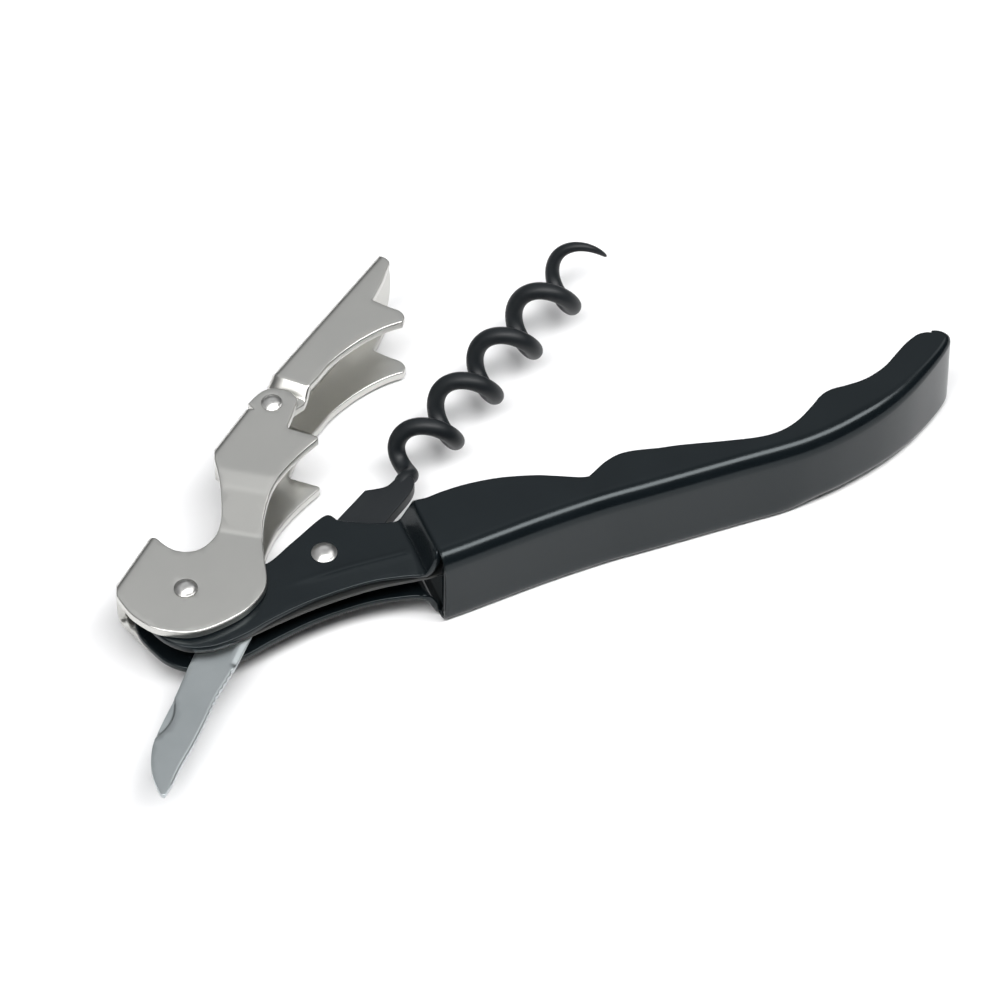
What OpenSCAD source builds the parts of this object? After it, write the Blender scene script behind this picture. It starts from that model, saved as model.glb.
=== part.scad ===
// Double-hinged lever corkscrew, lying on its side: folded-steel handle with
// a narrow neck, two-step rim lever, screw worm and foil knife.
// +X runs from the lever pivot to the handle's tip, +Y is the open (mouth)
// side of the handle, +Z is up through the thickness.

/* [Handle] */
// Outer thickness of the handle, across the two cheeks
handle_w = 13; // [12.6:0.1:14]
// Sheet thickness of the handle and neck
body_t = 1; // [0.8:0.05:1.1]
// Half of the outer thickness of the neck
neck_h = 2.75; // [2.7:0.05:2.8]
// Where the cheeks start to step out from the neck to the handle
step_x0 = 30.7; // [30:0.1:31]
// Where the step ends and the handle's spine begins
step_x1 = 32.6; // [32.2:0.1:33]

/* [Levers] */
// Sheet thickness of both levers
lever_t = 1.35; // [1.2:0.05:1.4]
// Half of the outer thickness of the levers, away from the pivot
lever_h = 5.9; // [5.8:0.05:5.9]
// Running gap between sliding sheets
gap = 0.1; // [0.06:0.01:0.14]

/* [Worm] */
// Radius of the coil's centreline
coil_r = 3.05; // [2.8:0.05:3.1]
// Radius of the wire
wire_r = 1.2; // [1:0.05:1.2]
// Advance of the coil for each turn
pitch = 9.7; // [9:0.1:10]
// Number of turns, counted from the first full-radius point
turns = 4.55; // [4:0.05:4.6]
// Direction of the worm in the stored position shown here
worm_dir = 34.8; // [34:0.1:36]

/* [Pins] */
// Radius of the lever rivet's shaft
lever_pin_r = 1.3; // [1.2:0.05:1.4]
// Radius of the worm rivet's shaft
worm_pin_r = 1.4; // [1.2:0.05:1.5]
// Radius of the rivet between the two levers
hinge_pin_r = 1.2; // [1:0.05:1.3]
// Radius of the knife's pin
knife_pin_r = 1.1; // [1:0.05:1.2]
// Radial running clearance of every moving hole on its pin
run = 0.05; // [0.02:0.01:0.09]

/* [Hidden] */
$fn = 64;
H = handle_w / 2;
// the lever pivot is at the working origin; this is the offset of the frame
cx = 48.75;
cy = 7.65;
worm_p = [19.5, 0];
hinge_p = [21.5, 24.6];
knife_p = [5.2, -4.8];
liner_t = 0.4;
knife_t = 0.8;
neck_in = neck_h - body_t;
lever_in0 = neck_h + gap;
lever_out0 = lever_in0 + lever_t;
tongue_out = lever_h - lever_t - gap;
tongue_in = tongue_out - lever_t;
knife_top = neck_in - liner_t - 0.05;
knife_bot = knife_top - knife_t;
shank_top = knife_bot - 0.1;
shank_bot = -neck_in + 0.1;

function cr(a, b, c, d, t) =
    0.5 * (2 * b + (c - a) * t + (2 * a - 5 * b + 4 * c - d) * t * t
           + (3 * b - a - 3 * c + d) * t * t * t);
// smooth curve through the points p, n steps to a span
function spline(p, n = 4) =
    [for (i = [0 : len(p) - 2]) for (k = [0 : n - 1])
        cr(p[max(i - 1, 0)], p[i], p[i + 1], p[min(i + 2, len(p) - 1)], k / n),
     p[len(p) - 1]];
function arc(c, r, a0, a1, n) =
    [for (i = [0 : n]) let (a = a0 + (a1 - a0) * i / n)
        [c[0] + r * cos(a), c[1] + r * sin(a)]];
function unit(v) = v / norm(v);
// the curve p moved to its right-hand side by d
function beside(p, d) =
    [for (i = [0 : len(p) - 1])
        let (q = unit(p[min(i + 1, len(p) - 1)] - p[max(i - 1, 0)]))
        p[i] + d * [q[1], -q[0]]];
function reverse(p) = [for (i = [len(p) - 1 : -1 : 0]) p[i]];
function smooth(x) = let (c = max(0, min(1, x))) c * c * (3 - 2 * c);

// spine, from the mouth side of the tip round to the start of the handle
spine = spline([[109.3, 3.1], [110.9, 2.5], [111.6, 1.2], [110.6, -0.4],
    [107.2, -2.9], [102, -5.7], [97, -7.7], [91, -9.2], [86, -9.8], [82, -9.8],
    [76, -9.5], [68, -9.2], [62, -9], [56, -8.8], [48, -9], [41, -9.5],
    [36, -9.9], [32.6, -10.1]]);
// mouth edge of the neck, up to its ear, then of the handle
neck_mouth = spline([[3.5, 6.1], [7.5, 3.3], [11.3, 1.2], [15.9, 3.2],
    [19.4, 5], [21.6, 6], [22.6, 5.9], [23.2, 4.7]]);
handle_mouth = spline([[23.2, 4.7], [26.3, 2.9], [28.8, 1.9], [31, 1.5],
    [34.2, 1], [36.7, 1.2], [40.3, 1.2], [44.7, 0.6], [49.1, -0.7], [52, -2],
    [54.4, -3.2], [55.8, -3.7]]);
wave_mouth = spline([[55.8, -3.7], [56.8, -3.2], [58.7, -2.2], [60.8, -1.6],
    [63, -1.7], [66.6, -2.6], [69.5, -3.2], [75, -4.7], [79.6, -5.8],
    [82.7, -5.9], [85.5, -5.1], [88.3, -3.5], [90.2, -2.2], [92, -1.7],
    [94.3, -1.8], [97.1, -1.7], [100.2, -0.7], [102.6, 0.8], [104.9, 2.2],
    [107.2, 3], [109.3, 3.1]]);
neck_spine = spline([[32.6, -10.1], [31.6, -9.4], [30.6, -8.6], [29, -7.9],
    [23.3, -6.8], [16, -6.9], [9.7, -7.9], [4.7, -9.1], [0.5, -9.4],
    [-2.9, -8.3], [-5.2, -6], [-6.4, -3.1]]);
neck_end = arc([0, 0], 7, 200, 65, 18);
shell_line = concat(neck_mouth, handle_mouth, wave_mouth, spine, neck_spine, neck_end);

module at_mid() { translate([-cx, -cy, H]) children(); }

// solid of everything within the outline line, full height
module slab(line, h = 10) { translate([0, 0, -h]) linear_extrude(height = 2 * h) polygon(line); }

// a prism whose section prof, in distance along direction a and height, runs across
module across(prof, a) {
    rotate([0, 0, a]) translate([0, 80, 0]) rotate([90, 0, 0])
        linear_extrude(height = 160) polygon(prof);
}
// section of all that lies between two sheets that step apart, from half
// height h0 to h1 between the distances s0 and s1
function between(s0, s1, h0, h1) =
    [[-60, -h0], [-60, h0], [s0, h0], [s1, h1], [150, h1], [150, -h1],
     [s1, -h1], [s0, -h0]];

module handle_shell() {
    color([0.13, 0.14, 0.15]) at_mid() difference() {
        intersection() {
            slab(shell_line);
            difference() {
                across(between(step_x0, step_x1, neck_h, H), 0);
                // the channel inside: cheek to cheek, and up to the spine
                difference() {
                    across(between(step_x0 + 0.6, step_x1 + 0.6, neck_h - body_t, H - body_t), 0);
                    translate([0, 0, -9]) linear_extrude(height = 18)
                        polygon(concat(beside(spine, -2), reverse(beside(spine, body_t))));
                }
            }
        }
        cylinder(r = lever_pin_r, h = 20, center = true);
        translate(worm_p) cylinder(r = worm_pin_r, h = 20, center = true);
        translate(knife_p) cylinder(r = knife_pin_r, h = 20, center = true);
    }
}

liner_line = concat(
    spline([[3.3, 5.7], [7.3, 2.9], [11.3, 0.8], [15.9, 2.8], [19.4, 4.5],
            [21.4, 5.4], [22.5, 4.2], [26.3, 2.4], [30, 1.2], [33.5, 0.4], [34.8, -1]]),
    [[34.8, -7.6]],
    spline([[33.6, -8.3], [31.4, -8.4], [29, -8.1], [23.3, -7.4], [16, -7.5],
            [9.7, -8.2], [4.7, -9], [0.5, -9.2], [-2.8, -8.1], [-5, -5.8], [-6.2, -3]]),
    arc([0, 0], 6.7, 200, 65, 14));

module spring_liner() {
    color([0.2, 0.21, 0.2]) at_mid() difference() {
        translate([0, 0, neck_in - liner_t]) linear_extrude(height = liner_t) polygon(liner_line);
        cylinder(r = lever_pin_r, h = 20, center = true);
        translate(worm_p) cylinder(r = worm_pin_r, h = 20, center = true);
        translate(knife_p) cylinder(r = knife_pin_r, h = 20, center = true);
    }
}

// a domed head of radius r and height h that stands on z = 0
module dome(r, h) {
    rs = (r * r + h * h) / (2 * h);
    intersection() {
        translate([0, 0, h - rs]) sphere(r = rs, $fn = 48);
        cylinder(r = r, h = h + 1);
    }
}
module rivet(r, z, head_r, head_h) {
    cylinder(r = r, h = 2 * z, center = true);
    for (m = [0, 1]) mirror([0, 0, m]) translate([0, 0, z]) dome(head_r, head_h);
}
module ring(r0, r1, z0, z1) {
    translate([0, 0, z0]) difference() {
        cylinder(r = r1, h = z1 - z0);
        translate([0, 0, -1]) cylinder(r = r0, h = z1 - z0 + 2);
    }
}

module lever_rivet() { color([0.8, 0.8, 0.78]) at_mid() rivet(lever_pin_r, lever_out0 + 0.05, 1.6, 0.75); }
module lever_spacer() { color([0.6, 0.6, 0.6]) at_mid() ring(lever_pin_r, 2.3, -neck_in, neck_in - liner_t); }
module worm_rivet() { color([0.8, 0.8, 0.78]) at_mid() translate(worm_p) rivet(worm_pin_r, neck_h, 1.75, 0.75); }
module worm_washer() { color([0.6, 0.6, 0.6]) at_mid() translate(worm_p) ring(worm_pin_r, 2.3, shank_top + 0.05, neck_in - liner_t); }
module knife_pin() { color([0.7, 0.7, 0.7]) at_mid() translate(knife_p) cylinder(r = knife_pin_r, h = 2 * neck_h, center = true); }
module knife_spacer() { color([0.6, 0.6, 0.6]) at_mid() translate(knife_p) ring(knife_pin_r, 2.2, -neck_in, knife_bot - 0.05); }
module hinge_rivet() { color([0.8, 0.8, 0.78]) at_mid() translate(hinge_p) rivet(hinge_pin_r, lever_h, 1.45, 0.6); }
module hinge_sleeve() { color([0.6, 0.6, 0.6]) at_mid() translate(hinge_p) ring(hinge_pin_r, 1.8, -tongue_in + 0.05, tongue_in - 0.05); }

// first lever: cap-opener hook, cheeks over the neck, web on the outer side
hook_a = [-8.1, 4.3];
hook_b = [-1.2, 10.3];
web1_a = [11.7, 20.1];
web1_b = [17.9, 25];
first_line = concat([hook_a, hook_b, [-0.75, 9.7]],
    spline([[-0.5, 8.5], [0.7, 6.9], [2.2, 6], [4, 5.7], [6, 6.5], [7.6, 8],
            [8.8, 10.1], [10.2, 14.5], [11.7, 20.1]]),
    spline([[19.2, 26], [20.5, 26.9], [21.7, 27.2], [23.3, 26.7], [24.6, 25.5], [25, 24]]),
    [[23.6, 22], [22.1, 20.1], [22, 19.8], [22.1, 19.5], [24.9, 17], [25.1, 16.7]],
    spline([[25, 16.3], [22.9, 15.3], [19.6, 13.4], [16.8, 11.2], [14.5, 8.4],
            [12.8, 5.3], [11.6, 1.5], [10.6, -2.2], [9.2, -4.4], [6, -6.4],
            [2.2, -7.3], [-1, -7.4], [-3.5, -6.6], [-6.2, -4.7], [-8, -1.8],
            [-8.7, 1.2]]));
// a straight wall along a-b: t deep to its right, and out past the outline to its left
module wall(a, b, t) {
    q = unit(b - a);
    n = [q[1], -q[0]];
    translate([0, 0, -9]) linear_extrude(height = 18)
        polygon([a - 2 * n, b - 2 * n, b + t * n, a + t * n]);
}
module first_lever() {
    color([0.72, 0.72, 0.7]) at_mid() difference() {
        intersection() {
            slab(first_line);
            difference() {
                across(between(10.6, 17, lever_out0, lever_h), 56);
                difference() {
                    across(between(11.1, 17.5, lever_in0, lever_h - lever_t), 56);
                    wall(hook_a - [0.7, 0.6], hook_b + [0.7, 0.6], lever_t);
                    wall(web1_a - [0.4, 0.31], web1_b, lever_t);
                }
            }
        }
        cylinder(r = lever_pin_r + run, h = 20, center = true);
        translate(hinge_p) cylinder(r = hinge_pin_r, h = 20, center = true);
    }
}

// second lever: narrow tongue at the hinge, step out to full width, rim foot
web2_a = [22.4, 28.5];
web2_b = [44.4, 43.9];
second_line = concat([web2_a, web2_b],
    spline([[45.1, 43.6], [45.5, 42.7], [45.1, 41.7], [43.4, 39.6], [40.8, 36.8]]),
    spline([[40.8, 36.8], [42.4, 34.8], [43.5, 33.6], [43.7, 32.4], [43.1, 31.5],
            [40.3, 31.4], [36.1, 30.4], [31.7, 28.5], [29.1, 26.7], [27.2, 25.4],
            [25.9, 23.9]]),
    arc(hinge_p, 2.25, -50, -230, 14));
module second_lever() {
    dir = atan2(web2_b[1] - web2_a[1], web2_b[0] - web2_a[0]);
    len2 = norm(web2_b - web2_a);
    w0 = 3.9 + (hinge_p[0] + hinge_p[1]) * sqrt(0.5);
    color([0.72, 0.72, 0.7]) at_mid() difference() {
        union() {
            intersection() {
                slab(second_line);
                difference() {
                    across(between(w0, w0 + 1.4, tongue_out, lever_h), 45);
                    difference() {
                        across(between(w0 + 0.5, w0 + 1.9, tongue_in, lever_h - lever_t), 45);
                        wall(web2_a, web2_b + [2, 1.4], lever_t);
                    }
                }
            }
            // rounded end of the web, proud of the cheeks
            translate(web2_b) rotate([0, 0, dir]) translate([-12.7, 0, 0]) rotate([90, 0, 0])
                intersection() {
                    cylinder(r = 14, h = lever_t);
                    translate([10, -5, -1]) cube([9, 10, 5]);
                }
        }
        translate(hinge_p) cylinder(r = hinge_pin_r + run, h = 20, center = true);
    }
}

// worm parts are drawn along +X from the worm pivot, then turned to worm_dir
coil_u0 = 23.1;
coil_v = 0.8;
module worm_frame() { at_mid() translate(worm_p) rotate([0, 0, worm_dir]) children(); }
shank_line = concat(arc([0, 0], 3.1, 90, 270, 16),
    spline([[6, -2.9], [12, -2.7], [15.5, -2.7], [17.4, -2.5], [18.7, -1.9],
            [19.2, -1], [18.8, -0.1], [17.4, 0.4], [15.6, 0.8], [13.6, 2.7]]),
    [[8, 2.9]]);
module worm_shank() {
    color([0.14, 0.15, 0.16]) worm_frame() difference() {
        translate([0, 0, shank_bot]) linear_extrude(height = shank_top - shank_bot) polygon(shank_line);
        cylinder(r = worm_pin_r + run, h = 20, center = true);
    }
}

// centreline of the wire at turn t: a half turn that swells, then full turns
function coil_radius(t) = coil_r * smooth((t + 0.5) / 0.5);
function coil_pt(t) = let (s = smooth((t + 0.5) / 0.5), r = coil_radius(t))
    [coil_u0 + pitch * t, coil_v * s - 0.2 * (1 - s) + r * cos(360 * t),
     -0.4 * (1 - s) + r * sin(360 * t)];
per_turn = 26;
sides = 10;
coil_n = round((turns + 0.5) * per_turn);
coil_ts = [for (i = [0 : coil_n]) -0.5 + (turns + 0.5) * i / coil_n];
wire_line = concat([[15.4, -0.9, -0.6], [16.4, -0.7, -0.55], [17.4, -0.4, -0.5]],
                   [for (t = coil_ts) coil_pt(t)]);
wire_turn = concat([-0.5, -0.5, -0.5], coil_ts);
function wire_radius(t) = wire_r * (0.1 + 0.9 * sqrt(min(1, (turns - t) / 0.8)));
module worm_wire() {
    n = len(wire_line);
    pts = [for (i = [0 : n - 1])
        let (tg = unit(wire_line[min(i + 1, n - 1)] - wire_line[max(i - 1, 0)]),
             a = 360 * wire_turn[i], e = [0, cos(a), sin(a)],
             nn = unit(e - (e * tg) * tg), b = cross(tg, nn), r = wire_radius(wire_turn[i]))
        for (k = [0 : sides - 1]) let (q = 360 * k / sides)
            wire_line[i] + r * (cos(q) * nn + sin(q) * b)];
    faces = concat([[for (k = [0 : sides - 1]) k]],
        [for (i = [0 : n - 2]) for (k = [0 : sides - 1]) let (j = (k + 1) % sides)
            [i * sides + k, (i + 1) * sides + k, (i + 1) * sides + j]],
        [for (i = [0 : n - 2]) for (k = [0 : sides - 1]) let (j = (k + 1) % sides)
            [i * sides + k, (i + 1) * sides + j, i * sides + j]],
        [[for (k = [sides - 1 : -1 : 0]) (n - 1) * sides + k]]);
    color([0.14, 0.15, 0.16]) worm_frame() polyhedron(points = pts, faces = faces, convexity = 10);
}

// knife, half open on the spine side
blade_line = concat(arc(knife_p, 3, 90, -20, 8),
    spline([[7.4, -6.9], [5.3, -9.1], [1.6, -13.1], [-1.6, -16.1], [-4.1, -18.9],
            [-7.2, -22.3], [-10.3, -25.4], [-12.2, -27.6]]),
    spline([[-13.8, -29], [-14.2, -28.5], [-14.2, -26.4], [-13.9, -24.4],
            [-13.3, -22.6], [-12.2, -20.5], [-10.4, -18.2], [-6.9, -14.3],
            [-2.4, -8.9], [1.6, -4.4]]));
module knife_blade() {
    color([0.65, 0.68, 0.7]) at_mid() difference() {
        translate([0, 0, knife_bot]) linear_extrude(height = knife_t) polygon(blade_line);
        translate(knife_p) cylinder(r = knife_pin_r + run, h = 20, center = true);
        // nail nick near the point
        translate([-8.6, -17.9, knife_top]) rotate([0, 0, 48])
            translate([0, 0, -0.3]) linear_extrude(height = 1)
                polygon([[-3.2, 1.6], [3.2, 1.6], [2.2, 0.3], [0, -0.2], [-2.2, 0.3]]);
    }
}

handle_shell();
spring_liner();
lever_rivet();
lever_spacer();
worm_rivet();
worm_washer();
knife_pin();
knife_spacer();
first_lever();
hinge_rivet();
hinge_sleeve();
second_lever();
worm_shank();
worm_wire();
knife_blade();
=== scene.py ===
import math
import bpy
import numpy as np
from mathutils import Matrix, Vector, geometry, noise


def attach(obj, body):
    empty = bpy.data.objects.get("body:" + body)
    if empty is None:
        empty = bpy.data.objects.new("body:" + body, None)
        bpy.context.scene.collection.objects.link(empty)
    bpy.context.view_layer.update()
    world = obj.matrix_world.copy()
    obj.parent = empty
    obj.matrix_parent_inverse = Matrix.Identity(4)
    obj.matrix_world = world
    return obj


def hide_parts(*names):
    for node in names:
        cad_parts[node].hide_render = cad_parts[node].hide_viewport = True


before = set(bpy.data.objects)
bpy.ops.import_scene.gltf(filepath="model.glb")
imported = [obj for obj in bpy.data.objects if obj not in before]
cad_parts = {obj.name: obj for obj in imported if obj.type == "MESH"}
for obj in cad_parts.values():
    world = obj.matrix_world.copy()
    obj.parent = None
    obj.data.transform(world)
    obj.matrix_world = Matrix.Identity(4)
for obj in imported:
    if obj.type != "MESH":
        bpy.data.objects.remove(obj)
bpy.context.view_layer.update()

# Lengths are in millimetres in the lever pivot's frame, as in the CAD source,
# and are turned into the row frame's metres when a mesh is made.
MM = 0.001
CX, CY, H = 48.75, 7.65, 6.5
NECK_H, BODY_T = 2.75, 1.0
LEVER_T, LEVER_H = 1.35, 5.9
LEVER_OUT0 = 4.2
TONGUE_OUT = 4.45
WORM_P, HINGE_P, KNIFE_P = (19.5, 0.0), (21.5, 24.6), (5.2, -4.8)


def row(p):
    return ((p[0] - CX) * MM, (p[1] - CY) * MM, (p[2] + H) * MM)


def smooth01(x):
    x = min(1.0, max(0.0, x))
    return x * x * (3 - 2 * x)


def ramp(s, s0, s1, w):
    """0 before s0, 1 after s1, with both corners rounded over a length w."""
    length = s1 - s0

    def g(x):
        return 0.0 if x <= 0 else (x * x / 2 / length if x < length else x - length / 2)

    return (g(s - s0 + w / 2) - g(s - s0 - w / 2)) / w


# ------------------------------------------------------------------ outlines

def spline(p, n=6):
    out = []
    for i in range(len(p) - 1):
        a, b, c, d = p[max(i - 1, 0)], p[i], p[i + 1], p[min(i + 2, len(p) - 1)]
        for k in range(n):
            t = k / n
            out.append(tuple(
                0.5 * (2 * b[j] + (c[j] - a[j]) * t + (2 * a[j] - 5 * b[j] + 4 * c[j] - d[j]) * t * t
                       + (3 * b[j] - a[j] - 3 * c[j] + d[j]) * t ** 3) for j in (0, 1)))
    out.append(tuple(p[-1]))
    return out


def arc(c, r, a0, a1, n):
    return [(c[0] + r * math.cos(math.radians(a0 + (a1 - a0) * i / n)),
             c[1] + r * math.sin(math.radians(a0 + (a1 - a0) * i / n))) for i in range(n + 1)]


def resample(pts, step):
    p = np.array(pts, float)
    d = np.r_[0, np.cumsum(np.linalg.norm(np.diff(p[:, :2], axis=0), axis=1))]
    q = np.linspace(0, d[-1], max(1, int(round(d[-1] / step))) + 1)
    return np.stack([np.interp(q, d, p[:, k]) for k in range(p.shape[1])], 1)


def left_normals(p):
    t = np.vstack([p[1] - p[0], p[2:] - p[:-2], p[-1] - p[-2]])
    t /= np.linalg.norm(t, axis=1)[:, None]
    return np.stack([-t[:, 1], t[:, 0]], 1)


def edge(pts, step=0.5):
    """Stations along a plain cut edge: tangent x, y, then no fold."""
    p = resample(pts, step)
    return np.hstack([p, p, np.zeros((len(p), 1))])


def fold(pts, radius, step=0.5):
    """Stations along a folded edge whose outer line is pts; radius is a number or a function of the length run."""
    p = resample(pts, step)
    d = np.r_[0, np.cumsum(np.linalg.norm(np.diff(p, axis=0), axis=1))]
    r = np.array([radius(x, d[-1]) if callable(radius) else radius for x in d])
    n = left_normals(p)
    return np.hstack([p - n * r[:, None], p, r[:, None]])


def straight_fold(a, b, radius, before=0.0, after=0.0, step=0.4):
    """A straight fold from a to b on its outer line, whose tangent line runs further by before and after."""
    a, b = np.array(a, float), np.array(b, float)
    d = (b - a) / np.linalg.norm(b - a)
    n = np.array([-d[1], d[0]])
    o = resample([a, b], step)
    t = np.linspace(0, 1, len(o))[:, None]
    ta, tb = a - n * radius - d * before, b - n * radius + d * after
    return np.hstack([ta + (tb - ta) * t, o, np.full((len(o), 1), radius)])


def inside(p, poly):
    """Which of the points p lie inside the closed line poly."""
    x, y = p[:, 0], p[:, 1]
    hit = np.zeros(len(p), bool)
    for (x0, y0), (x1, y1) in zip(poly, np.roll(poly, -1, 0)):
        if y0 == y1:
            continue
        cross = ((y0 > y) != (y1 > y)) & (x < (x1 - x0) * (y - y0) / (y1 - y0) + x0)
        hit ^= cross
    return hit


def distance(p, line, closed=True):
    best = np.full(len(p), 1e9)
    ends = np.roll(line, -1, 0) if closed else line[1:]
    starts = line if closed else line[:-1]
    for a, b in zip(starts, ends):
        ab = b - a
        t = np.clip(((p - a) @ ab) / max(ab @ ab, 1e-12), 0, 1)
        best = np.minimum(best, np.linalg.norm(p - a - t[:, None] * ab, axis=1))
    return best


def add_rows(st, direction, rows):
    """Splits the stations wherever they cross one of the rows, so that bends run cleanly to the edge."""
    out = [st[0]]
    for a, b in zip(st[:-1], st[1:]):
        sa, sb = a[:2] @ direction, b[:2] @ direction
        cuts = sorted((r - sa) / (sb - sa) for r in rows if min(sa, sb) < r < max(sa, sb))
        for t in cuts:
            if np.linalg.norm((b - a)[:2]) * min(t, 1 - t) > 0.04:
                out.append(a + (b - a) * t)
        out.append(b)
    return np.array(out)


def fill(outer, holes, direction, rows, grid, extra=(), clear=0.3):
    """Triangles of the region inside outer and outside holes, with inner points on lines across direction."""
    across = np.array([-direction[1], direction[0]])
    s, t = outer @ direction, outer @ across
    values = list(np.arange(s.min() + grid / 2, s.max(), grid))
    if len(rows):
        values = [v for v in values if v < min(rows) - grid / 2 or v > max(rows) + grid / 2] + list(rows)
    pts = np.array([v * direction + w * across for v in values
                    for w in np.arange(t.min() + grid / 2, t.max(), grid)])
    keep = inside(pts, outer) & (distance(pts, outer) > clear)
    for h in holes:
        keep &= ~inside(pts, h) & (distance(pts, h) > clear)
    if len(extra):
        ex = np.array(extra, float)
        pts = pts[keep]
        pts = pts[np.min(np.linalg.norm(pts[:, None] - ex[None], axis=2), axis=1) > 0.45 * grid]
        ok = inside(ex, outer) & (distance(ex, outer) > 0.12)
        pts = np.vstack([pts, ex[ok]])
    else:
        pts = pts[keep]
    coords, edges, base = list(outer), [], 0
    edges += [(i, (i + 1) % len(outer)) for i in range(len(outer))]
    base = len(outer)
    for h in holes:
        coords += list(h)
        edges += [(base + i, base + (i + 1) % len(h)) for i in range(len(h))]
        base += len(h)
    coords += list(pts)
    vo, _, fo, ov, _, _ = geometry.delaunay_2d_cdt([Vector((float(c[0]), float(c[1]))) for c in coords], edges, [], 1, 1e-6)
    vo = np.array([tuple(v) for v in vo])
    where = {i: o for o, ins in enumerate(ov) for i in ins}
    tris = [f for f in fo if len(f) == 3]
    mid = np.array([vo[list(f)].mean(0) for f in tris])
    ok = inside(mid, outer)
    for h in holes:
        ok &= ~inside(mid, h)
    faces = []
    for f, good in zip(tris, ok):
        if good:
            a, b, c = vo[f[0]], vo[f[1]], vo[f[2]]
            area = (b[0] - a[0]) * (c[1] - a[1]) - (b[1] - a[1]) * (c[0] - a[0])
            if abs(area) > 1e-9:
                faces.append(tuple(f) if area > 0 else tuple(reversed(f)))
    loops = [[where[i] for i in range(len(outer))]]
    base = len(outer)
    for h in holes:
        loops.append([where[base + i] for i in range(len(h))])
        base += len(h)
    return vo, faces, loops


def make(name, verts, faces, kinds=None):
    mesh = bpy.data.meshes.new(name)
    used = sorted({i for f in faces for i in f})
    new = {o: n for n, o in enumerate(used)}
    mesh.from_pydata([row(verts[i]) for i in used], [], [[new[i] for i in f] for f in faces])
    if kinds is not None:
        mesh.polygons.foreach_set("material_index", kinds)
    mesh.validate()
    mesh.update()
    obj = bpy.data.objects.new(name, mesh)
    bpy.context.scene.collection.objects.link(obj)
    for p in mesh.polygons:
        p.use_smooth = True
    return obj


def thicken(name, verts, faces, thickness, round_r, steps=4, weights=None):
    """A closed sheet below the outer face: its inner face, and a rim whose corners are rounded to round_r."""
    v = np.array(verts, float)
    weights = np.ones(len(v)) if weights is None else np.array(weights, float)
    normals = np.zeros_like(v)
    per_vertex = [[] for _ in v]
    for f in faces:
        p = v[list(f)]
        fn = np.cross(p[1] - p[0], p[2] - p[0]) if len(f) == 3 else np.cross(p[2] - p[0], p[3] - p[1])
        size = np.linalg.norm(fn)
        if size < 1e-10:
            continue
        fn /= size
        for i in range(len(f)):
            a, b = p[i - 1] - p[i], p[(i + 1) % len(f)] - p[i]
            c = (a @ b) / max(np.linalg.norm(a) * np.linalg.norm(b), 1e-12)
            ang = math.acos(min(1.0, max(-1.0, c)))
            normals[f[i]] += fn * ang
            per_vertex[f[i]].append((fn, ang))
    normals /= np.maximum(np.linalg.norm(normals, axis=1), 1e-12)[:, None]
    even = np.ones(len(v))
    for i, near in enumerate(per_vertex):
        if near:
            even[i] = min(1.25, 1 / max(0.5, sum((fn @ normals[i]) * a for fn, a in near) / sum(a for _, a in near)))
    directed = {(f[i], f[(i + 1) % len(f)]) for f in faces for i in range(len(f))}
    border = {a: b for a, b in directed if (b, a) not in directed}
    before = {b: a for a, b in border.items()}
    out = v.copy()
    side = {}
    for i in border:
        t1, t2 = v[i] - v[before[i]], v[border[i]] - v[i]
        c1 = np.cross(t1 / max(np.linalg.norm(t1), 1e-12), normals[i])
        c2 = np.cross(t2 / max(np.linalg.norm(t2), 1e-12), normals[i])
        c = c1 + c2
        c /= max(np.linalg.norm(c), 1e-9)
        side[i] = c / max(0.65, min(1.0, c @ c1))
        out[i] = v[i] - side[i] * round_r
    allv = [tuple(p) for p in out]
    inner = []
    for i in range(len(v)):
        k = thickness * weights[i] * (1.0 if i in border else even[i])
        allv.append(tuple(out[i] - normals[i] * k))
        inner.append(len(allv) - 1)
    rows = {}
    for i in border:
        r = min(round_r, 0.45 * thickness * weights[i])
        t = thickness * weights[i]
        column = [i]
        for k in range(1, steps + 1):
            a = k / steps * math.pi / 2
            allv.append(tuple(out[i] + side[i] * round_r * math.sin(a) - normals[i] * r * (1 - math.cos(a))))
            column.append(len(allv) - 1)
        for k in range(steps, 0, -1):
            a = k / steps * math.pi / 2
            allv.append(tuple(out[i] + side[i] * round_r * math.sin(a) - normals[i] * (t - r * (1 - math.cos(a)))))
            column.append(len(allv) - 1)
        column.append(inner[i])
        rows[i] = column
    allf = [tuple(f) for f in faces]
    kinds = [0] * len(allf)
    allf += [tuple(inner[i] for i in reversed(f)) for f in faces]
    kinds += [1] * len(faces)
    for a, b in border.items():
        ra, rb = rows[a], rows[b]
        for k in range(len(ra) - 1):
            allf.append((ra[k], ra[k + 1], rb[k + 1], rb[k]))
            kinds.append(2)
    obj = make(name, allv, allf, kinds=kinds)
    w = obj.modifiers.new("shade", "WEIGHTED_NORMAL")
    w.mode = "FACE_AREA"
    w.weight = 50
    w.keep_sharp = False
    return obj


def bevelled(obj, width, segments=2, angle=48, clamp=False):
    b = obj.modifiers.new("rim", "BEVEL")
    b.width = width * MM
    b.segments = segments
    b.limit_method = "ANGLE"
    b.angle_limit = math.radians(angle)
    b.use_clamp_overlap = clamp
    b.miter_outer = "MITER_SHARP"
    w = obj.modifiers.new("shade", "WEIGHTED_NORMAL")
    w.mode = "FACE_AREA"
    w.weight = 50
    w.keep_sharp = False
    return obj


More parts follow.
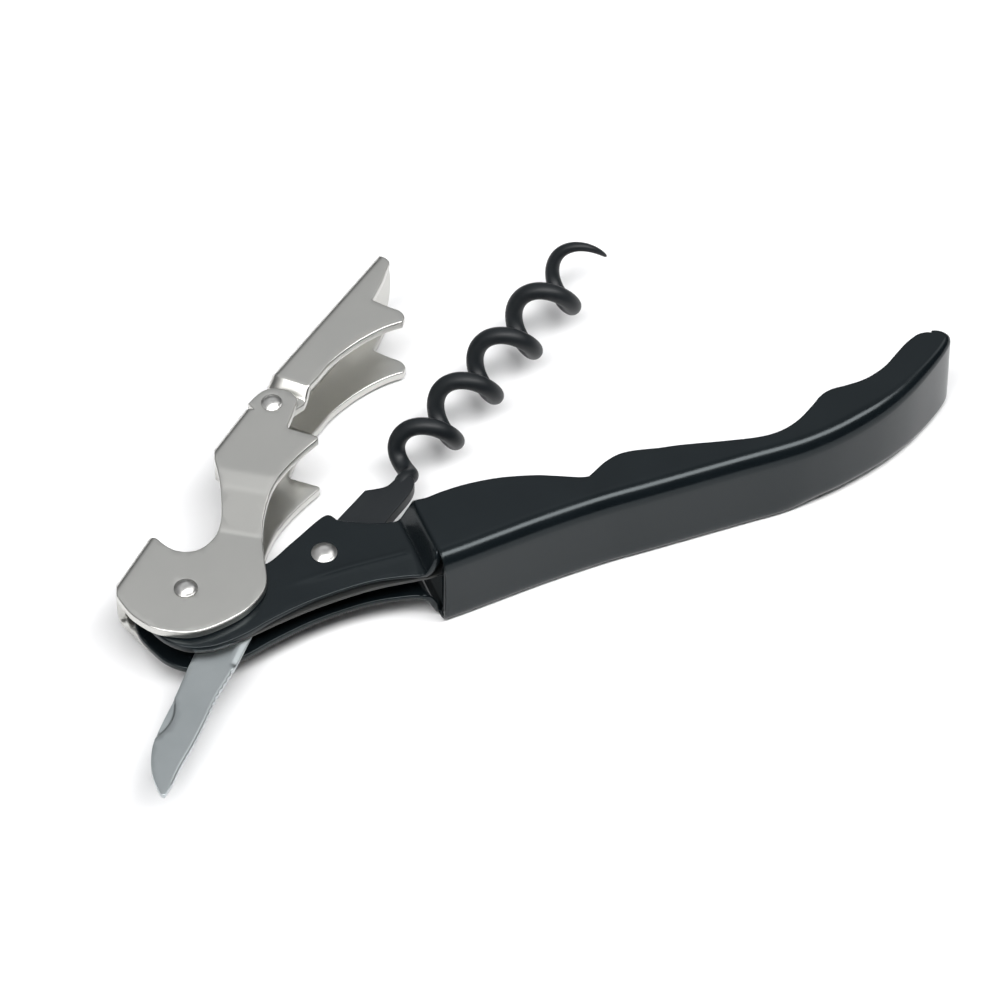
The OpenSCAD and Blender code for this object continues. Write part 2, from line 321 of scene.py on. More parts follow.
def folded_sheet(name, segments, height, thickness, direction, rows, grid, holes=(), rim=0.16,
                 weight=None, warp=None, extra=(), arc_rows=8, web_rows=5, lower=None):
    """Both cheeks and the webs that join them, as one bent sheet of even thickness.
    segments run clockwise round the cheek; the sheet's outer face is height(x, y) above the middle plane."""
    direction = np.array(direction, float)
    parts = [add_rows(s, direction, rows) for s in segments]
    stations, folded = [], []
    for s in parts:
        for k, st in enumerate(s):
            if stations and np.linalg.norm(stations[-1][:2] - st[:2]) < 0.02:
                if st[4] > 0 and k == 0:
                    stations[-1] = st
                continue
            stations.append(st)
    if np.linalg.norm(stations[-1][:2] - stations[0][:2]) < 0.02:
        stations.pop()
    st = np.array(stations)
    outer = st[:, :2]
    circles = [np.array(arc(c, r, 0, 360, 32))[:-1] for c, r in holes]
    vo, faces, loops = fill(outer, circles, direction, rows, grid, extra, clear=rim + 0.14)
    verts = [(x, y, height(x, y)) for x, y in vo]
    weights = [weight(x, y) if weight else 1.0 for x, y in vo]
    ring = loops[0]
    n = len(st)
    strips = []
    run = []
    for j in range(n + 1):
        k = j % n
        if st[k][4] > 0 and j < n:
            run.append(k)
        else:
            if len(run) > 1:
                strips.append(run)
            run = []
    middle = set()
    for run in strips:
        grid_ids = []
        for k in run:
            tx, ty, ox, oy, r = st[k]
            h = verts[ring[k]][2]
            column = [ring[k]]
            for a in range(1, arc_rows + 1):
                f = a / arc_rows * math.pi / 2
                verts.append((tx + (ox - tx) * math.sin(f), ty + (oy - ty) * math.sin(f), h - r * (1 - math.cos(f))))
                weights.append(weights[ring[k]])
                column.append(len(verts) - 1)
            for a in range(1, web_rows + 1):
                verts.append((ox, oy, (h - r) * (1 - a / web_rows)))
                weights.append(weights[ring[k]])
                column.append(len(verts) - 1)
            middle.add(column[-1])
            grid_ids.append(column)
        for a, b in zip(grid_ids[:-1], grid_ids[1:]):
            for i in range(len(a) - 1):
                faces.append((a[i], b[i], b[i + 1], a[i + 1]))
    if warp:
        verts = [warp(v) for v in verts]
    count = len(verts)
    mirror = {}
    for i in range(count):
        if i in middle:
            verts[i] = (verts[i][0], verts[i][1], 0.0)
            mirror[i] = i
        else:
            verts.append((verts[i][0], verts[i][1], -verts[i][2]))
            if lower:
                verts[-1] = lower(verts[-1])
            weights.append(weights[i])
            mirror[i] = len(verts) - 1
    faces += [tuple(reversed([mirror[i] for i in f])) for f in list(faces)]
    return thicken(name, verts, faces, thickness, rim, weights=weights)


def flat(name, outline, z, thickness, rim, grid=1.2, holes=(), step=0.4):
    """A flat plate with rounded edges whose upper face is at z."""
    outer = resample(list(outline) + [outline[0]], step)[:-1]
    circles = [np.array(arc(c, r, 0, 360, 32))[:-1] for c, r in holes]
    vo, tris, _ = fill(outer, circles, np.array((1.0, 0.0)), (), grid, clear=rim + 0.12)
    return thicken(name, [(x, y, z) for x, y in vo], list(tris), thickness, rim)


def plate(name, outline, top, bottom, direction=(1, 0), grid=1.0, holes=(), extra=(), step=0.4, rim=0.06,
          rows=(), keep_points=False):
    """A flat part between two faces, with crisp bevelled edges. outline runs clockwise."""
    outer = np.array(outline, float) if keep_points else resample(list(outline) + [outline[0]], step)[:-1]
    circles = [np.array(arc(c, r, 0, 360, 32))[:-1] for c, r in holes]
    vo, tris, loops = fill(outer, circles, np.array(direction, float), rows, grid, extra, clear=0.2)
    n = len(vo)
    verts = [(x, y, top(x, y)) for x, y in vo] + [(x, y, bottom(x, y)) for x, y in vo]
    faces = list(tris) + [tuple(i + n for i in reversed(f)) for f in tris]
    for which, loop in enumerate(loops):
        for a, b in zip(loop, loop[1:] + loop[:1]):
            # the outer line runs clockwise and the holes run the other way
            faces.append((a, b, b + n, a + n))
    obj = make(name, verts, faces)
    bm_fix(obj)
    return bevelled(obj, rim, 2) if rim else obj


def bm_fix(obj):
    import bmesh
    bm = bmesh.new()
    bm.from_mesh(obj.data)
    bmesh.ops.recalc_face_normals(bm, faces=bm.faces)
    bm.to_mesh(obj.data)
    bm.free()


def lathe(name, centre, profile, n=64, rough=0.0, seed=0):
    """A turned solid about +Z; profile is (radius, z) from the top of the axis to its bottom."""
    verts, faces = [], []
    for r, z in profile:
        if r < 1e-6:
            verts.append((centre[0], centre[1], z))
        else:
            for k in range(n):
                a = 2 * math.pi * k / n
                dz = 0.0
                if rough and abs(z) > 0:
                    dz = rough * noise.noise(Vector((r * math.cos(a) * 1.6 + seed, r * math.sin(a) * 1.6, seed * 3.1)))
                verts.append((centre[0] + r * math.cos(a), centre[1] + r * math.sin(a), z + (dz if z > 0 else -dz)))
    at, rings = 0, []
    for r, _ in profile:
        size = 1 if r < 1e-6 else n
        rings.append(list(range(at, at + size)))
        at += size
    for a, b in zip(rings[:-1], rings[1:]):
        for k in range(n):
            j = (k + 1) % n
            if len(a) == 1:
                faces.append((a[0], b[k], b[j]))
            elif len(b) == 1:
                faces.append((a[k], b[0], a[j]))
            else:
                faces.append((a[k], b[k], b[j], a[j]))
    obj = make(name, verts, faces)
    bm_fix(obj)
    return obj


# ----------------------------------------------------------------- materials

def nodes_of(name):
    m = bpy.data.materials.new(name)
    m.use_nodes = True
    t = m.node_tree
    return m, t, t.nodes["Principled BSDF"]


def texture(t, kind, scale, stretch=(1, 1, 1), turn=(0, 0, 0), **values):
    coord = t.nodes.new("ShaderNodeTexCoord")
    mapping = t.nodes.new("ShaderNodeMapping")
    mapping.inputs["Scale"].default_value = stretch
    mapping.inputs["Rotation"].default_value = turn
    tex = t.nodes.new(kind)
    tex.inputs["Scale"].default_value = scale
    for k, v in values.items():
        tex.inputs[k].default_value = v
    t.links.new(coord.outputs["Object"], mapping.inputs["Vector"])
    t.links.new(mapping.outputs["Vector"], tex.inputs["Vector"])
    return tex


def ramp_node(t, source, stops):
    r = t.nodes.new("ShaderNodeValToRGB")
    r.color_ramp.elements[0].position, r.color_ramp.elements[0].color = stops[0][0], (*stops[0][1], 1)
    r.color_ramp.elements[1].position, r.color_ramp.elements[1].color = stops[-1][0], (*stops[-1][1], 1)
    for p, c in stops[1:-1]:
        e = r.color_ramp.elements.new(p)
        e.color = (*c, 1)
    t.links.new(source, r.inputs["Fac"])
    return r


def spread(t, source, low, high, a=0.0, b=1.0):
    r = t.nodes.new("ShaderNodeMapRange")
    r.inputs["From Min"].default_value, r.inputs["From Max"].default_value = a, b
    r.inputs["To Min"].default_value, r.inputs["To Max"].default_value = low, high
    t.links.new(source, r.inputs["Value"])
    return r.outputs["Result"]


def bump(t, shader, source, strength, depth, previous=None):
    b = t.nodes.new("ShaderNodeBump")
    b.inputs["Strength"].default_value = strength
    b.inputs["Distance"].default_value = depth
    t.links.new(source, b.inputs["Height"])
    if previous is not None:
        t.links.new(previous, b.inputs["Normal"])
    t.links.new(b.outputs["Normal"], shader.inputs["Normal"])
    return b.outputs["Normal"]


def paint(name, dark, light, rough, rough_to, specular=0.5, grain=9000, strength=0.12, tint=(1, 1, 1)):
    m, t, s = nodes_of(name)
    big = texture(t, "ShaderNodeTexNoise", 120, Detail=4.0, Roughness=0.6)
    fine = texture(t, "ShaderNodeTexNoise", grain, Detail=2.0, Roughness=0.5)
    c = ramp_node(t, big.outputs["Fac"], [(0.3, dark), (0.7, light)])
    t.links.new(c.outputs["Color"], s.inputs["Base Color"])
    t.links.new(spread(t, big.outputs["Fac"], rough, rough_to, 0.3, 0.7), s.inputs["Roughness"])
    s.inputs["Specular IOR Level"].default_value = specular
    s.inputs["Specular Tint"].default_value = (*tint, 1)
    bump(t, s, fine.outputs["Fac"], strength, 0.00002)
    return m


def metal(name, low, high, rough, rough_to, turn=0.0, stretch=(1, 26, 26), grain=1400, strength=0.1, big_scale=90,
          depth=0.00001):
    m, t, s = nodes_of(name)
    s.inputs["Metallic"].default_value = 1.0
    big = texture(t, "ShaderNodeTexNoise", big_scale, Detail=5.0, Roughness=0.62)
    lines = texture(t, "ShaderNodeTexNoise", grain / stretch[1], stretch=stretch, turn=(0, 0, turn), Detail=3.0, Roughness=0.6)
    c = ramp_node(t, big.outputs["Fac"], [(0.3, low), (0.7, high)])
    t.links.new(c.outputs["Color"], s.inputs["Base Color"])
    t.links.new(spread(t, lines.outputs["Fac"], rough, rough_to, 0.3, 0.7), s.inputs["Roughness"])
    bump(t, s, lines.outputs["Fac"], strength, depth)
    return m


M = {
    "paint": paint("black_paint", (0.0038, 0.0058, 0.0072), (0.005, 0.0074, 0.009), 0.18, 0.225, specular=0.31, tint=(0.88, 0.97, 1)),
    "paint_cut": paint("black_paint_cut_edge", (0.010, 0.012, 0.014), (0.014, 0.017, 0.019), 0.3, 0.36),
    "paint_in": paint("black_paint_inside", (0.006, 0.007, 0.008), (0.009, 0.010, 0.011), 0.4, 0.5),
    "liner": paint("liner_black", (0.012, 0.013, 0.013), (0.02, 0.021, 0.02), 0.35, 0.45),
    "worm": paint("worm_black", (0.007, 0.009, 0.011), (0.010, 0.0125, 0.0145), 0.42, 0.5, specular=0.32, grain=14000, strength=0.2),
    "nickel": metal("satin_nickel", (0.575, 0.572, 0.548), (0.605, 0.60, 0.573), 0.285, 0.30, turn=math.radians(-60), strength=0.05),
    # painted shade and painted reflection: the levers' inside faces get a darker, blotchy brown-grey nickel to stand
    # for the shade they lie in and the black handle they mirror
    "nickel_in": metal("nickel_inside_painted_shade", (0.24, 0.215, 0.19), (0.64, 0.61, 0.57), 0.22, 0.34, turn=math.radians(-60), big_scale=170, strength=0.25),
    "nickel_cut": metal("nickel_cut_edge", (0.78, 0.78, 0.76), (0.9, 0.9, 0.88), 0.12, 0.24, turn=math.radians(-60), strength=0.3),
    "rivet": metal("rivet_steel", (0.58, 0.575, 0.56), (0.68, 0.675, 0.66), 0.3, 0.37, big_scale=700, stretch=(1, 1.5, 1), grain=900, strength=0.3),
    "blade": metal("blade_steel", (0.42, 0.455, 0.465), (0.475, 0.51, 0.52), 0.3, 0.36, turn=math.radians(-48), stretch=(20, 1, 1), strength=0.25),
    "steel": metal("plain_steel", (0.42, 0.42, 0.41), (0.55, 0.55, 0.54), 0.3, 0.4),
}


def dress(obj, *names):
    obj.data.materials.clear()
    for n in names:
        obj.data.materials.append(M[n])
    return obj


# -------------------------------------------------------------------- handle

neck_mouth = spline([(3.5, 6.1), (7.5, 3.3), (11.3, 1.2), (15.9, 3.2), (19.4, 5), (21.6, 6), (22.6, 5.9), (23.2, 4.7)])
handle_mouth = spline([(23.2, 4.7), (26.3, 2.9), (28.8, 1.9), (31, 1.5), (34.2, 1), (36.7, 1.2), (40.3, 1.2),
                       (44.7, 0.6), (49.1, -0.7), (52, -2), (54.4, -3.2), (55.8, -3.7)])
wave_mouth = spline([(55.8, -3.7), (56.8, -3.2), (58.7, -2.2), (60.8, -1.6), (63, -1.7), (66.6, -2.6), (69.5, -3.2),
                     (75, -4.7), (79.6, -5.8), (82.7, -5.9), (85.5, -5.1), (88.3, -3.5), (90.2, -2.2), (92, -1.7),
                     (94.3, -1.8), (97.1, -1.7), (100.2, -0.7), (102.6, 0.8), (104.9, 2.2), (107.0, 2.95), (108.7, 2.62)])
spine = spline([(108.8, 3.0), (110.2, 2.45), (110.9, 1.25), (109.9, -0.3), (106.7, -2.75), (102, -5.6), (97, -7.7),
                (91, -9.25), (86, -9.9), (82, -9.95), (76, -9.7), (68, -9.45), (62, -9.25), (56, -9.05), (48, -9.25),
                (41, -9.7), (36, -10.05), (32.6, -10.2)])


def spine_radius(s, total):
    return 0.5 + 0.6 * smooth01(s / 3.0) + 1.4 * smooth01((s - 3) / 22.0)


spine_fold = fold(spine, spine_radius)
wave_mouth[-1] = tuple(spine_fold[0][:2])
neck_spine = spline([tuple(spine_fold[-1][:2]), (32.15, -8.4), (31.5, -8.65), (30.6, -8.55), (29, -7.9)]) + \
    spline([(29, -7.9), (23.3, -6.8), (16, -6.9), (9.7, -7.9), (4.7, -9.1), (0.5, -9.4), (-2.9, -8.3), (-5.2, -6), (-6.4, -3.1)])[1:]
neck_end = arc((0, 0), 7, 200, 65, 36)


def ridge_y(x):
    return np.interp(x, [12, 16.2, 21.8, 29.4, 33], [-3.3, -3.3, -3.4, -3.9, -4.2])


def ridge_drop(x, y):
    fade = smooth01((x - 11) / 9) * (1 - smooth01((x - 29.6) / 1.4))
    d = ridge_y(x) - y
    k = 0.35  # half the width of the soft crease
    soft = 0.0 if d < -k else ((d + k) ** 2 / (4 * k) if d < k else d)
    return (min(0.3, 0.06 * soft) - 0.13 * math.exp(-(d / 0.38) ** 2)) * fade


def shell_height(x, y):
    return NECK_H + (H - NECK_H) * ramp(x, 30.7, 32.6, 0.9) - ridge_drop(x, y)


SPINE_LINE = resample(spine, 0.1)
SPINE_OUT = left_normals(SPINE_LINE)
SPINE_OUT = SPINE_OUT * np.where(SPINE_OUT[:, 1:2] < 0, 1.0, -1.0)


def squarer_fold(v):
    """The far fold of the spine is pressed a little squarer than the near one."""
    big, power = 2.5, 5.0
    if v[2] > big - H or v[0] > 88:
        return v
    i = int(np.argmin((SPINE_LINE[:, 0] - v[0]) ** 2 + (SPINE_LINE[:, 1] - v[1]) ** 2))
    a = big - math.hypot(SPINE_LINE[i][0] - v[0], SPINE_LINE[i][1] - v[1])
    b = -v[2] - (H - big)
    if a <= 0.01:
        return v
    k = (big / (a ** power + b ** power) ** (1 / power) - 1) * smooth01((88 - v[0]) / 7)
    k = max(0.0, min(k, 0.25))
    return (v[0] + SPINE_OUT[i][0] * k * a, v[1] + SPINE_OUT[i][1] * k * a, max(-H, v[2] - k * b))


ridge_points = [(x, ridge_y(x) + o) for x in np.arange(11.5, 30, 0.6) for o in (-0.7, -0.35, 0.0, 0.35, 0.7)]
shell = folded_sheet(
    "handle_body",
    [edge(neck_mouth + handle_mouth[1:] + wave_mouth[1:]), spine_fold, edge(neck_spine), edge(neck_end)],
    shell_height, BODY_T, (1, 0), list(np.arange(30.0, 33.4, 0.17)), 0.9,
    holes=[((0, 0), 1.3), (WORM_P, 1.4), (KNIFE_P, 1.1)], rim=0.24,
    weight=lambda x, y: min(1 - ridge_drop(x, y) / BODY_T, 0.55 + 0.45 * smooth01((109.5 - x) / 2.5)),
    extra=ridge_points, arc_rows=11, lower=squarer_fold)
dress(shell, "paint", "paint_in", "paint_cut")
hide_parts("handle_shell")
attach(shell, "handle")

liner_line = (spline([(3.3, 5.7), (7.3, 2.9), (11.3, 0.8), (15.9, 2.8), (19.4, 4.5), (21.4, 5.4), (22.5, 4.2),
                      (26.3, 2.4), (30, 1.2), (33.5, 0.4), (34.8, -1)]) + [(34.8, -7.6)]
              + spline([(33.6, -8.3), (31.4, -8.4), (29, -8.1), (23.3, -7.4), (16, -7.5), (9.7, -8.2), (4.7, -9),
                        (0.5, -9.2), (-2.8, -8.1), (-5, -5.8), (-6.2, -3)]) + arc((0, 0), 6.7, 200, 65, 20))
liner = flat("spring_liner_plate", liner_line, 1.74, 0.38, 0.1, grid=1.5,
             holes=[((0, 0), 1.3), (WORM_P, 1.4), (KNIFE_P, 1.1)])
dress(liner, "liner")
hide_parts("spring_liner")
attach(liner, "handle")


def rivet(name, node, body, centre, shaft, z, head, height, flat, seed):
    rs = (head * head + height * height) / (2 * height)
    prof = [(0.0, z + height - flat)]
    for k in range(1, 13):
        a = k / 12 * 0.94
        r = head * a
        prof.append((r, z + min(height - flat, height - rs + math.sqrt(rs * rs - r * r))))
    prof += [(head * 0.985, z + 0.07), (head, z + 0.02), (head * 0.99, z), (shaft, z)]
    profile = prof + [(shaft, z * k / 4) for k in (3, 2, 1, 0, -1, -2, -3)] + [(r, -zz) for r, zz in reversed(prof)]
    obj = dress(lathe(name, centre, profile, rough=0.035, seed=seed), "rivet")
    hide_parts(node)
    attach(obj, body)
    return obj


rivet("lever_rivet_domed", "lever_rivet", "handle", (0, 0), 1.3, 4.25, 1.6, 0.75, 0.05, 3)
rivet("worm_rivet_domed", "worm_rivet", "handle", WORM_P, 1.4, NECK_H, 1.75, 0.75, 0.10, 7)
rivet("hinge_rivet_domed", "hinge_rivet", "first_lever", HINGE_P, 1.2, LEVER_H, 1.45, 0.6, 0.04, 11)

# --------------------------------------------------------------- first lever

DIR56 = (math.cos(math.radians(56)), math.sin(math.radians(56)))


def first_height(x, y):
    s = x * DIR56[0] + y * DIR56[1]
    return LEVER_OUT0 + (LEVER_H - LEVER_OUT0) * 0.5 * (ramp(s, 10.6, 17.0, 1.0) + ramp(s, 10.6, 19.8, 1.0))


def first_lower(v):
    """The far cheek is cut a little closer than the near one round its heel."""
    r, a = math.hypot(v[0], v[1]), math.degrees(math.atan2(v[1], v[0])) % 360
    corner = smooth01((6.0 - math.hypot(v[0] - 10.9, v[1] - 18.6)) / 5.0) * smooth01((-v[2] - 1.0) / 1.5)
    if corner > 0:
        return (v[0] + 1.1 * corner, v[1] - 0.35 * corner, v[2])
    k = smooth01((a - 148) / 22) * (1 - smooth01((a - 242) / 35)) * smooth01((r - 4) / 3.5) * smooth01((-v[2] - 2.0) / 1.4)
    return (v[0] * (1 - 1.75 * k / r), v[1] * (1 - 1.75 * k / r), v[2]) if k > 0 else v


R1 = 1.3
hook_a, hook_b = (-8.3, 4.53), (-1.4, 10.53)
web1_a, web1_b = (11.5, 20.35), (17.95, 25.45)
hook = straight_fold(hook_a, hook_b, R1, 1.93, 0.0)
web1 = straight_fold(web1_a, web1_b, R1, 1.85, 0.1)
hook_end, hook_start = tuple(hook[-1][:2]), tuple(hook[0][:2])
w_start, w_end = tuple(web1[0][:2]), tuple(web1[-1][:2])
first = folded_sheet(
    "first_lever_plate",
    [hook,
     edge(spline([hook_end, (0.0, 8.2), (0.9, 6.85), (2.2, 6), (4, 5.7), (6, 6.5), (7.6, 8), (8.8, 10.1), (10.2, 14.5), w_start])),
     web1,
     edge([w_end, (18.5, 25.68)], 0.3),
     edge(spline([(18.5, 25.68), (19.4, 26.3), (20.5, 26.88), (21.7, 27.15), (23.3, 26.7), (24.6, 25.5), (25, 24)])),
     edge([(25, 24), (23.6, 22), (22.1, 20.1), (22, 19.8), (22.1, 19.5), (24.9, 17), (25.1, 16.7), (25.0, 16.3)], 0.4),
     edge(spline([(25, 16.3), (22.9, 15.3), (19.6, 13.4), (16.8, 11.2), (14.5, 8.4), (12.8, 5.3), (11.6, 1.5),
                  (10.6, -2.2), (9.2, -4.4), (6, -6.4), (2.2, -7.3), (-1, -7.4), (-3.5, -6.6), (-6.2, -4.7),
                  (-8, -1.8), (-8.6, 0.4), hook_start]))],
    first_height, LEVER_T, DIR56, list(np.arange(9.9, 11.4, 0.15)) + list(np.arange(15.8, 21.0, 0.26)), 1.1,
    holes=[((0, 0), 1.35), (HINGE_P, 1.2)], rim=0.22, lower=first_lower)
dress(first, "nickel", "nickel_in", "nickel_cut")
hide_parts("first_lever")
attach(first, "first_lever")

# -------------------------------------------------------------- second lever

DIR45 = (math.sqrt(0.5), math.sqrt(0.5))
W0 = 3.15 + (HINGE_P[0] + HINGE_P[1]) * math.sqrt(0.5)
web2_a, web2_b = np.array([22.15, 28.85]), np.array([44.45, 44.45])
web2_dir = (web2_b - web2_a) / np.linalg.norm(web2_b - web2_a)


def second_height(x, y):
    s = x * DIR45[0] + y * DIR45[1]
    return TONGUE_OUT + (LEVER_H - TONGUE_OUT) * ramp(s, W0, W0 + 1.5, 0.5)


def web2_round(v):
    """The free end of the web stands proud of the cheeks in a shallow arc."""
    u = (np.array(v[:2]) - web2_b) @ web2_dir
    side = (np.array(v[:2]) - web2_b) @ np.array([-web2_dir[1], web2_dir[0]])
    proud = max(0.0, -12.7 + math.sqrt(196 - min(v[2] ** 2, 190)))
    k = proud * smooth01((u + 5) / 5) * smooth01((side + 1.6) / 1.2)
    return (v[0] + web2_dir[0] * k, v[1] + web2_dir[1] * k, v[2])


web2 = straight_fold(web2_a, web2_b, R1, 0.25, 0.0)
t2_start, t2_end = tuple(web2[0][:2]), tuple(web2[-1][:2])
second = folded_sheet(
    "second_lever_plate",
    [web2,
     edge(spline([t2_end, (45.5, 42.4), (44.65, 41.25), (43.4, 39.6), (40.8, 36.8)])),
     edge(spline([(40.8, 36.8), (42.4, 34.8), (43.5, 33.6), (43.75, 32.4), (43.1, 31.5)]), 0.35),
     edge(spline([(43.1, 31.5), (40.3, 31.4), (36.1, 30.4), (31.7, 28.5), (29.1, 26.7), (27.2, 25.4), (25.9, 23.9)])),
     edge(arc(HINGE_P, 2.25, -50, -230, 18)),
     edge([arc(HINGE_P, 2.25, -230, -231, 1)[0], (22.25, 27.75)], 0.4),
     edge([(22.25, 27.75), t2_start], 0.3)],
    second_height, LEVER_T, DIR45, list(np.arange(W0 - 0.45, W0 + 1.9, 0.13)), 1.0,
    holes=[(HINGE_P, 1.25)], rim=0.22, warp=web2_round, web_rows=8)
dress(second, "nickel", "nickel_in", "nickel_cut")
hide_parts("second_lever")
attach(second, "second_lever")

# ---------------------------------------------------------------------- worm

WD = math.radians(34.8)
COIL_R, WIRE_R, PITCH, TURNS, COIL_U0, COIL_V = 3.08, 1.24, 9.7, 4.44, 23.1, 0.8


def from_worm(p):
    z = p[2] if len(p) > 2 else 0.0
    return (WORM_P[0] + p[0] * math.cos(WD) - p[1] * math.sin(WD), WORM_P[1] + p[0] * math.sin(WD) + p[1] * math.cos(WD), z)


shank_line = (arc((0, 0), 3.1, 90, 270, 24)
              + spline([(6, -2.9), (12, -2.7), (15.5, -2.7), (17.4, -2.5), (18.7, -1.9), (19.2, -1), (18.8, -0.1),
                        (17.4, 0.4), (15.6, 0.8), (13.6, 2.7)]) + [(8, 2.9)])
shank = flat("worm_shank_tab", [from_worm(p)[:2] for p in shank_line], 0.40, 2.05, 0.2, holes=[(WORM_P, 1.45)])
dress(shank, "worm")
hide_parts("worm_shank")
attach(shank, "worm")


def coil_pt(t):
    s = smooth01((t + 0.5) / 0.5)
    r = COIL_R * s
    a = 2 * math.pi * t
    return (COIL_U0 + PITCH * t, COIL_V * s - 0.2 * (1 - s) + r * math.cos(a), -0.4 * (1 - s) + r * math.sin(a))


def tube(name, line, radius, sides=28):
    p = np.array(line, float)
    tg = np.vstack([p[1] - p[0], p[2:] - p[:-2], p[-1] - p[-2]])
    tg /= np.linalg.norm(tg, axis=1)[:, None]
    normal = np.cross(tg[0], (0, 0, 1.0))
    verts = []
    for i in range(len(p)):
        normal = normal - (normal @ tg[i]) * tg[i]
        normal /= np.linalg.norm(normal)
        side = np.cross(tg[i], normal)
        for k in range(sides):
            a = 2 * math.pi * k / sides
            verts.append(tuple(p[i] + radius[i] * (math.cos(a) * normal + math.sin(a) * side)))
    faces = [tuple(i * sides + k for k in range(sides))]
    for i in range(len(p) - 1):
        for k in range(sides):
            j = (k + 1) % sides
            faces.append((i * sides + k, (i + 1) * sides + k, (i + 1) * sides + j, i * sides + j))
    faces.append(tuple((len(p) - 1) * sides + k for k in reversed(range(sides))))
    obj = make(name, verts, faces)
    bm_fix(obj)
    return obj


coil_n = round((TURNS + 0.5) * 90)
ts = [-0.5 + (TURNS + 0.5) * i / coil_n for i in range(coil_n + 1)]
lead = [(15.4, -0.9, -0.63), (16.4, -0.7, -0.62), (17.4, -0.4, -0.58)]
wire_line = [from_worm(p) for p in lead + [coil_pt(t) for t in ts]]
tip_r = [WIRE_R * (0.05 + 0.95 * math.sqrt(min(1.0, max(0.0, TURNS - t) / 0.8))) for t in ts]
tip_r = [min(r, 1.0 + 0.2 * smooth01((t + 0.45) / 0.2)) for r, t in zip(tip_r, ts)]
wire = tube("worm_coil", wire_line, [0.98] * 3 + tip_r)
dress(wire, "worm")
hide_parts("worm_wire")
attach(wire, "worm")

# --------------------------------------------------------------------- knife

cutting = spline([(7.4, -6.9), (5.3, -9.1), (1.6, -13.1), (-1.6, -16.1), (-4.1, -18.9), (-7.2, -22.3), (-10.3, -25.4), (-12.2, -27.6)], 14)
cut = resample(cutting, 0.16)
cut_n = left_normals(cut)
cut_s = np.r_[0, np.cumsum(np.linalg.norm(np.diff(cut, axis=0), axis=1))]
teeth = []
for p, nn, s in zip(cut, cut_n, cut_s):
    amount = 0.16 * smooth01((s - 7.6) / 1.0) * (1 - 0.75 * smooth01((s - 13) / 6))
    teeth.append(p - nn * amount * (0.5 - 0.5 * math.cos(2 * math.pi * s / 1.15)) * 1.0)
back = spline([(-13.8, -29), (-14.2, -28.5), (-14.2, -26.4), (-13.9, -24.4), (-13.3, -22.6), (-12.2, -20.5),
               (-10.4, -18.2), (-6.9, -14.3), (-2.4, -8.9), (1.6, -4.4)])
blade_outline = (list(resample(arc(KNIFE_P, 3, 90, -20, 20), 0.4)[:-1]) + teeth[1:] + list(resample([cut[-1], back[0]], 0.3)[1:-1])
                 + list(resample(back, 0.4)[:-1]) + list(resample([back[-1], arc(KNIFE_P, 3, 90, 88, 1)[0]], 0.5)[:-1]))
EDGE = np.array(cut)
ROOT = EDGE[cut_s < 4.4]


def blade_top(x, y):
    p = np.array([[x, y]])
    d = distance(p, EDGE, False)[0]
    # a narrow bright bevel at the heel, then a thin hollow grind towards the edge
    along = cut_s[np.argmin(np.linalg.norm(EDGE - p, axis=1))]
    heel = (1 - smooth01((along - 7.2) / 0.9)) * smooth01((along + 0.5) / 0.8)
    drop = 0.42 * heel * max(0.0, 1 - d / 0.95)
    drop += 0.22 * smooth01((along - 7.4) / 1.5) * max(0.0, 1 - d / 0.3)
    # nail nick: a scoop cut into the face, open towards the back
    u = (x + 8.6) * math.cos(math.radians(48)) + (y + 17.9) * math.sin(math.radians(48))
    v = -(x + 8.6) * math.sin(math.radians(48)) + (y + 17.9) * math.cos(math.radians(48))
    low = 0.12 + 0.085 * u * u * (1 if abs(u) < 4 else 4)
    if abs(u) < 4.1 and v > low - 0.16:
        drop += 0.30 * smooth01((v - low + 0.16) / 0.32) * (1 - 0.55 * smooth01((v - low) / 1.7))
    return 1.3 - drop


nick_points = []
for u in np.arange(-3.9, 3.95, 0.22):
    low = 0.12 + 0.085 * u * u
    for o in (-0.2, -0.08, 0.06, 0.2, 0.4, 0.7, 1.05, 1.4):
        v = low + o
        nick_points.append((-8.6 + u * math.cos(math.radians(48)) - v * math.sin(math.radians(48)),
                            -17.9 + u * math.sin(math.radians(48)) + v * math.cos(math.radians(48))))
edge_points = []
for d in (0.3, 0.55, 0.95, 1.3):
    q = cut - cut_n * d
    edge_points += [tuple(p) for p in resample(q, 0.4)]
blade = plate("foil_knife_blade", blade_outline, blade_top, lambda x, y: 0.5, direction=(math.cos(math.radians(48)), math.sin(math.radians(48))),
              grid=0.8, holes=[(KNIFE_P, 1.15)], extra=nick_points + edge_points, rim=0.05, keep_points=True)
dress(blade, "blade")
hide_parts("knife_blade")
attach(blade, "knife")

for name in ("lever_spacer", "worm_washer", "knife_pin", "knife_spacer", "hinge_sleeve"):
    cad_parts[name].data.materials.clear()
    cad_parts[name].data.materials.append(M["paint_in" if name == "knife_pin" else "steel"])

# ------------------------------------------------------- floor, light, camera

floor_mat, ft, fs = nodes_of("white_floor")
grain = texture(ft, "ShaderNodeTexNoise", 60, Detail=2.0)
fc = ramp_node(ft, grain.outputs["Fac"], [(0.0, (0.85, 0.85, 0.855)), (1.0, (0.855, 0.855, 0.86))])
ft.links.new(fc.outputs["Color"], fs.inputs["Base Color"])
fs.inputs["Roughness"].default_value = 0.8
fs.inputs["Specular IOR Level"].default_value = 0.0
fs.inputs["Emission Color"].default_value = (1, 1, 1, 1)
fs.inputs["Emission Strength"].default_value = 0.0
mesh = bpy.data.meshes.new("floor")
mesh.from_pydata([(-3, -3, -0.00004), (3, -3, -0.00004), (3, 3, -0.00004), (-3, 3, -0.00004)], [], [(0, 1, 2, 3)])
floor = bpy.data.objects.new("floor", mesh)
bpy.context.scene.collection.objects.link(floor)
floor.data.materials.append(floor_mat)


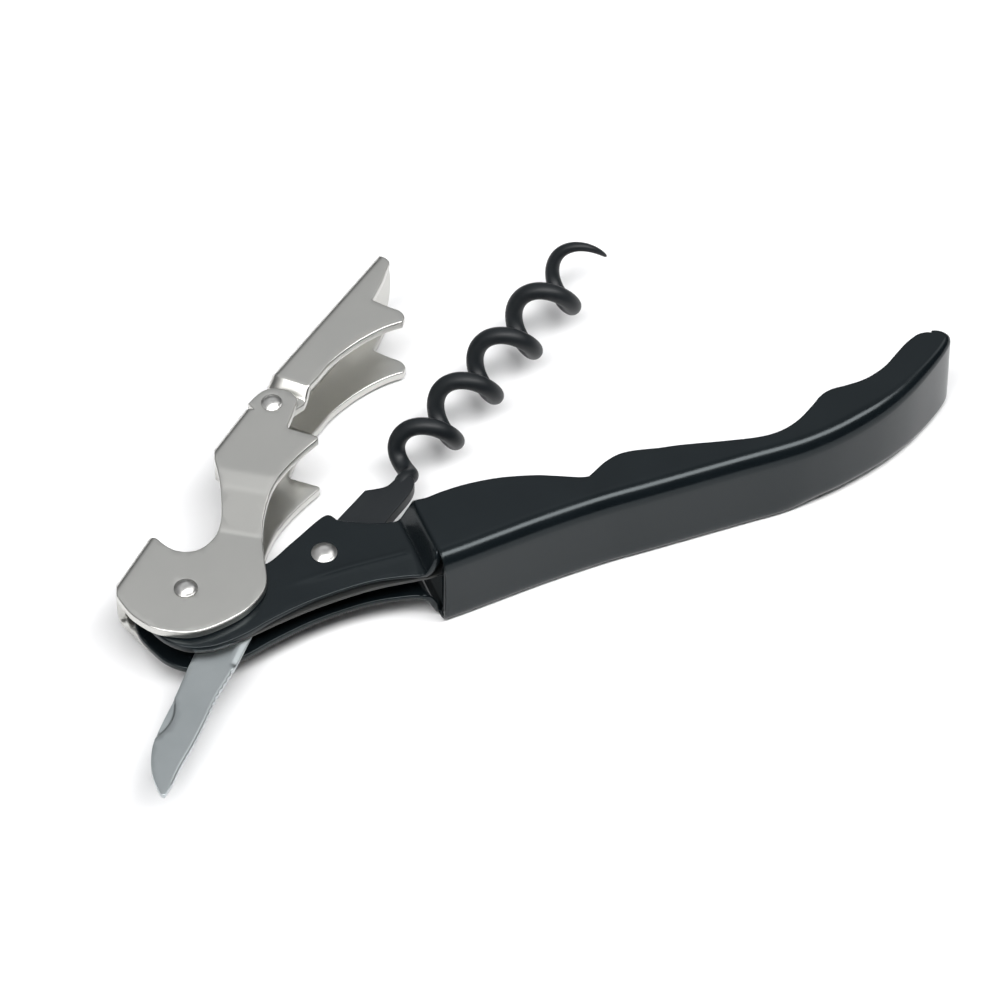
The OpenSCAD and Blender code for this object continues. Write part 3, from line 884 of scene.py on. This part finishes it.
def area(name, at, look, size, power, colour=(1, 1, 1)):
    light = bpy.data.lights.new(name, "AREA")
    light.shape = "RECTANGLE"
    light.size, light.size_y = size
    light.energy = power
    light.color = colour
    o = bpy.data.objects.new(name, light)
    o.location = at
    o.rotation_mode = "QUATERNION"
    o.rotation_quaternion = (Vector(look) - Vector(at)).to_track_quat("-Z", "Y")
    bpy.context.scene.collection.objects.link(o)
    return o


area("overhead_softbox", (0.0, -0.30, 0.85), (0, 0, 0), (1.3, 0.32), 13.6)
area("left_softbox", (-0.80, -0.42, 0.62), (0, 0, 0), (0.42, 0.42), 1.4)
area("high_card", (0.08, 0.34, 0.83), (0, 0, 0), (0.25, 0.25), 0.12)
area("right_card", (0.63, 0.13, 0.63), (0, 0, 0), (0.3, 0.3), 0.45)

world = bpy.data.worlds.new("studio")
bpy.context.scene.world = world
world.use_nodes = True
wt = world.node_tree
bg = wt.nodes["Background"]
tc = wt.nodes.new("ShaderNodeTexCoord")
sep = wt.nodes.new("ShaderNodeSeparateXYZ")
wt.links.new(tc.outputs["Generated"], sep.inputs["Vector"])
up = spread(wt, sep.outputs["Z"], 0.0, 1.0, 0.12, 0.75)
rear = spread(wt, sep.outputs["Y"], 0.0, 1.0, -0.15, 0.45)
mul = wt.nodes.new("ShaderNodeMath")
mul.operation = "MULTIPLY"
wt.links.new(up, mul.inputs[0])
wt.links.new(rear, mul.inputs[1])
glow = spread(wt, mul.outputs["Value"], 0.006, 0.63)
wt.links.new(glow, bg.inputs["Strength"])
bg.inputs["Color"].default_value = (0.97, 0.985, 1.0, 1)

target = Vector(row((45.42, 1.76, 0.0)))
cam_data = bpy.data.cameras.new("camera")
cam_data.sensor_width = 36
cam_data.lens = 255.2
cam_data.clip_start, cam_data.clip_end = 0.02, 20
cam = bpy.data.objects.new("camera", cam_data)
back_dir = Vector((-0.2408, -0.5960, 0.7660)).normalized()
cam.location = target + back_dir * 0.950
cam.rotation_mode = "QUATERNION"
cam.rotation_quaternion = (-back_dir).to_track_quat("-Z", "Y")
bpy.context.scene.collection.objects.link(cam)
bpy.context.scene.camera = cam
bpy.context.scene.view_settings.view_transform = "Standard"
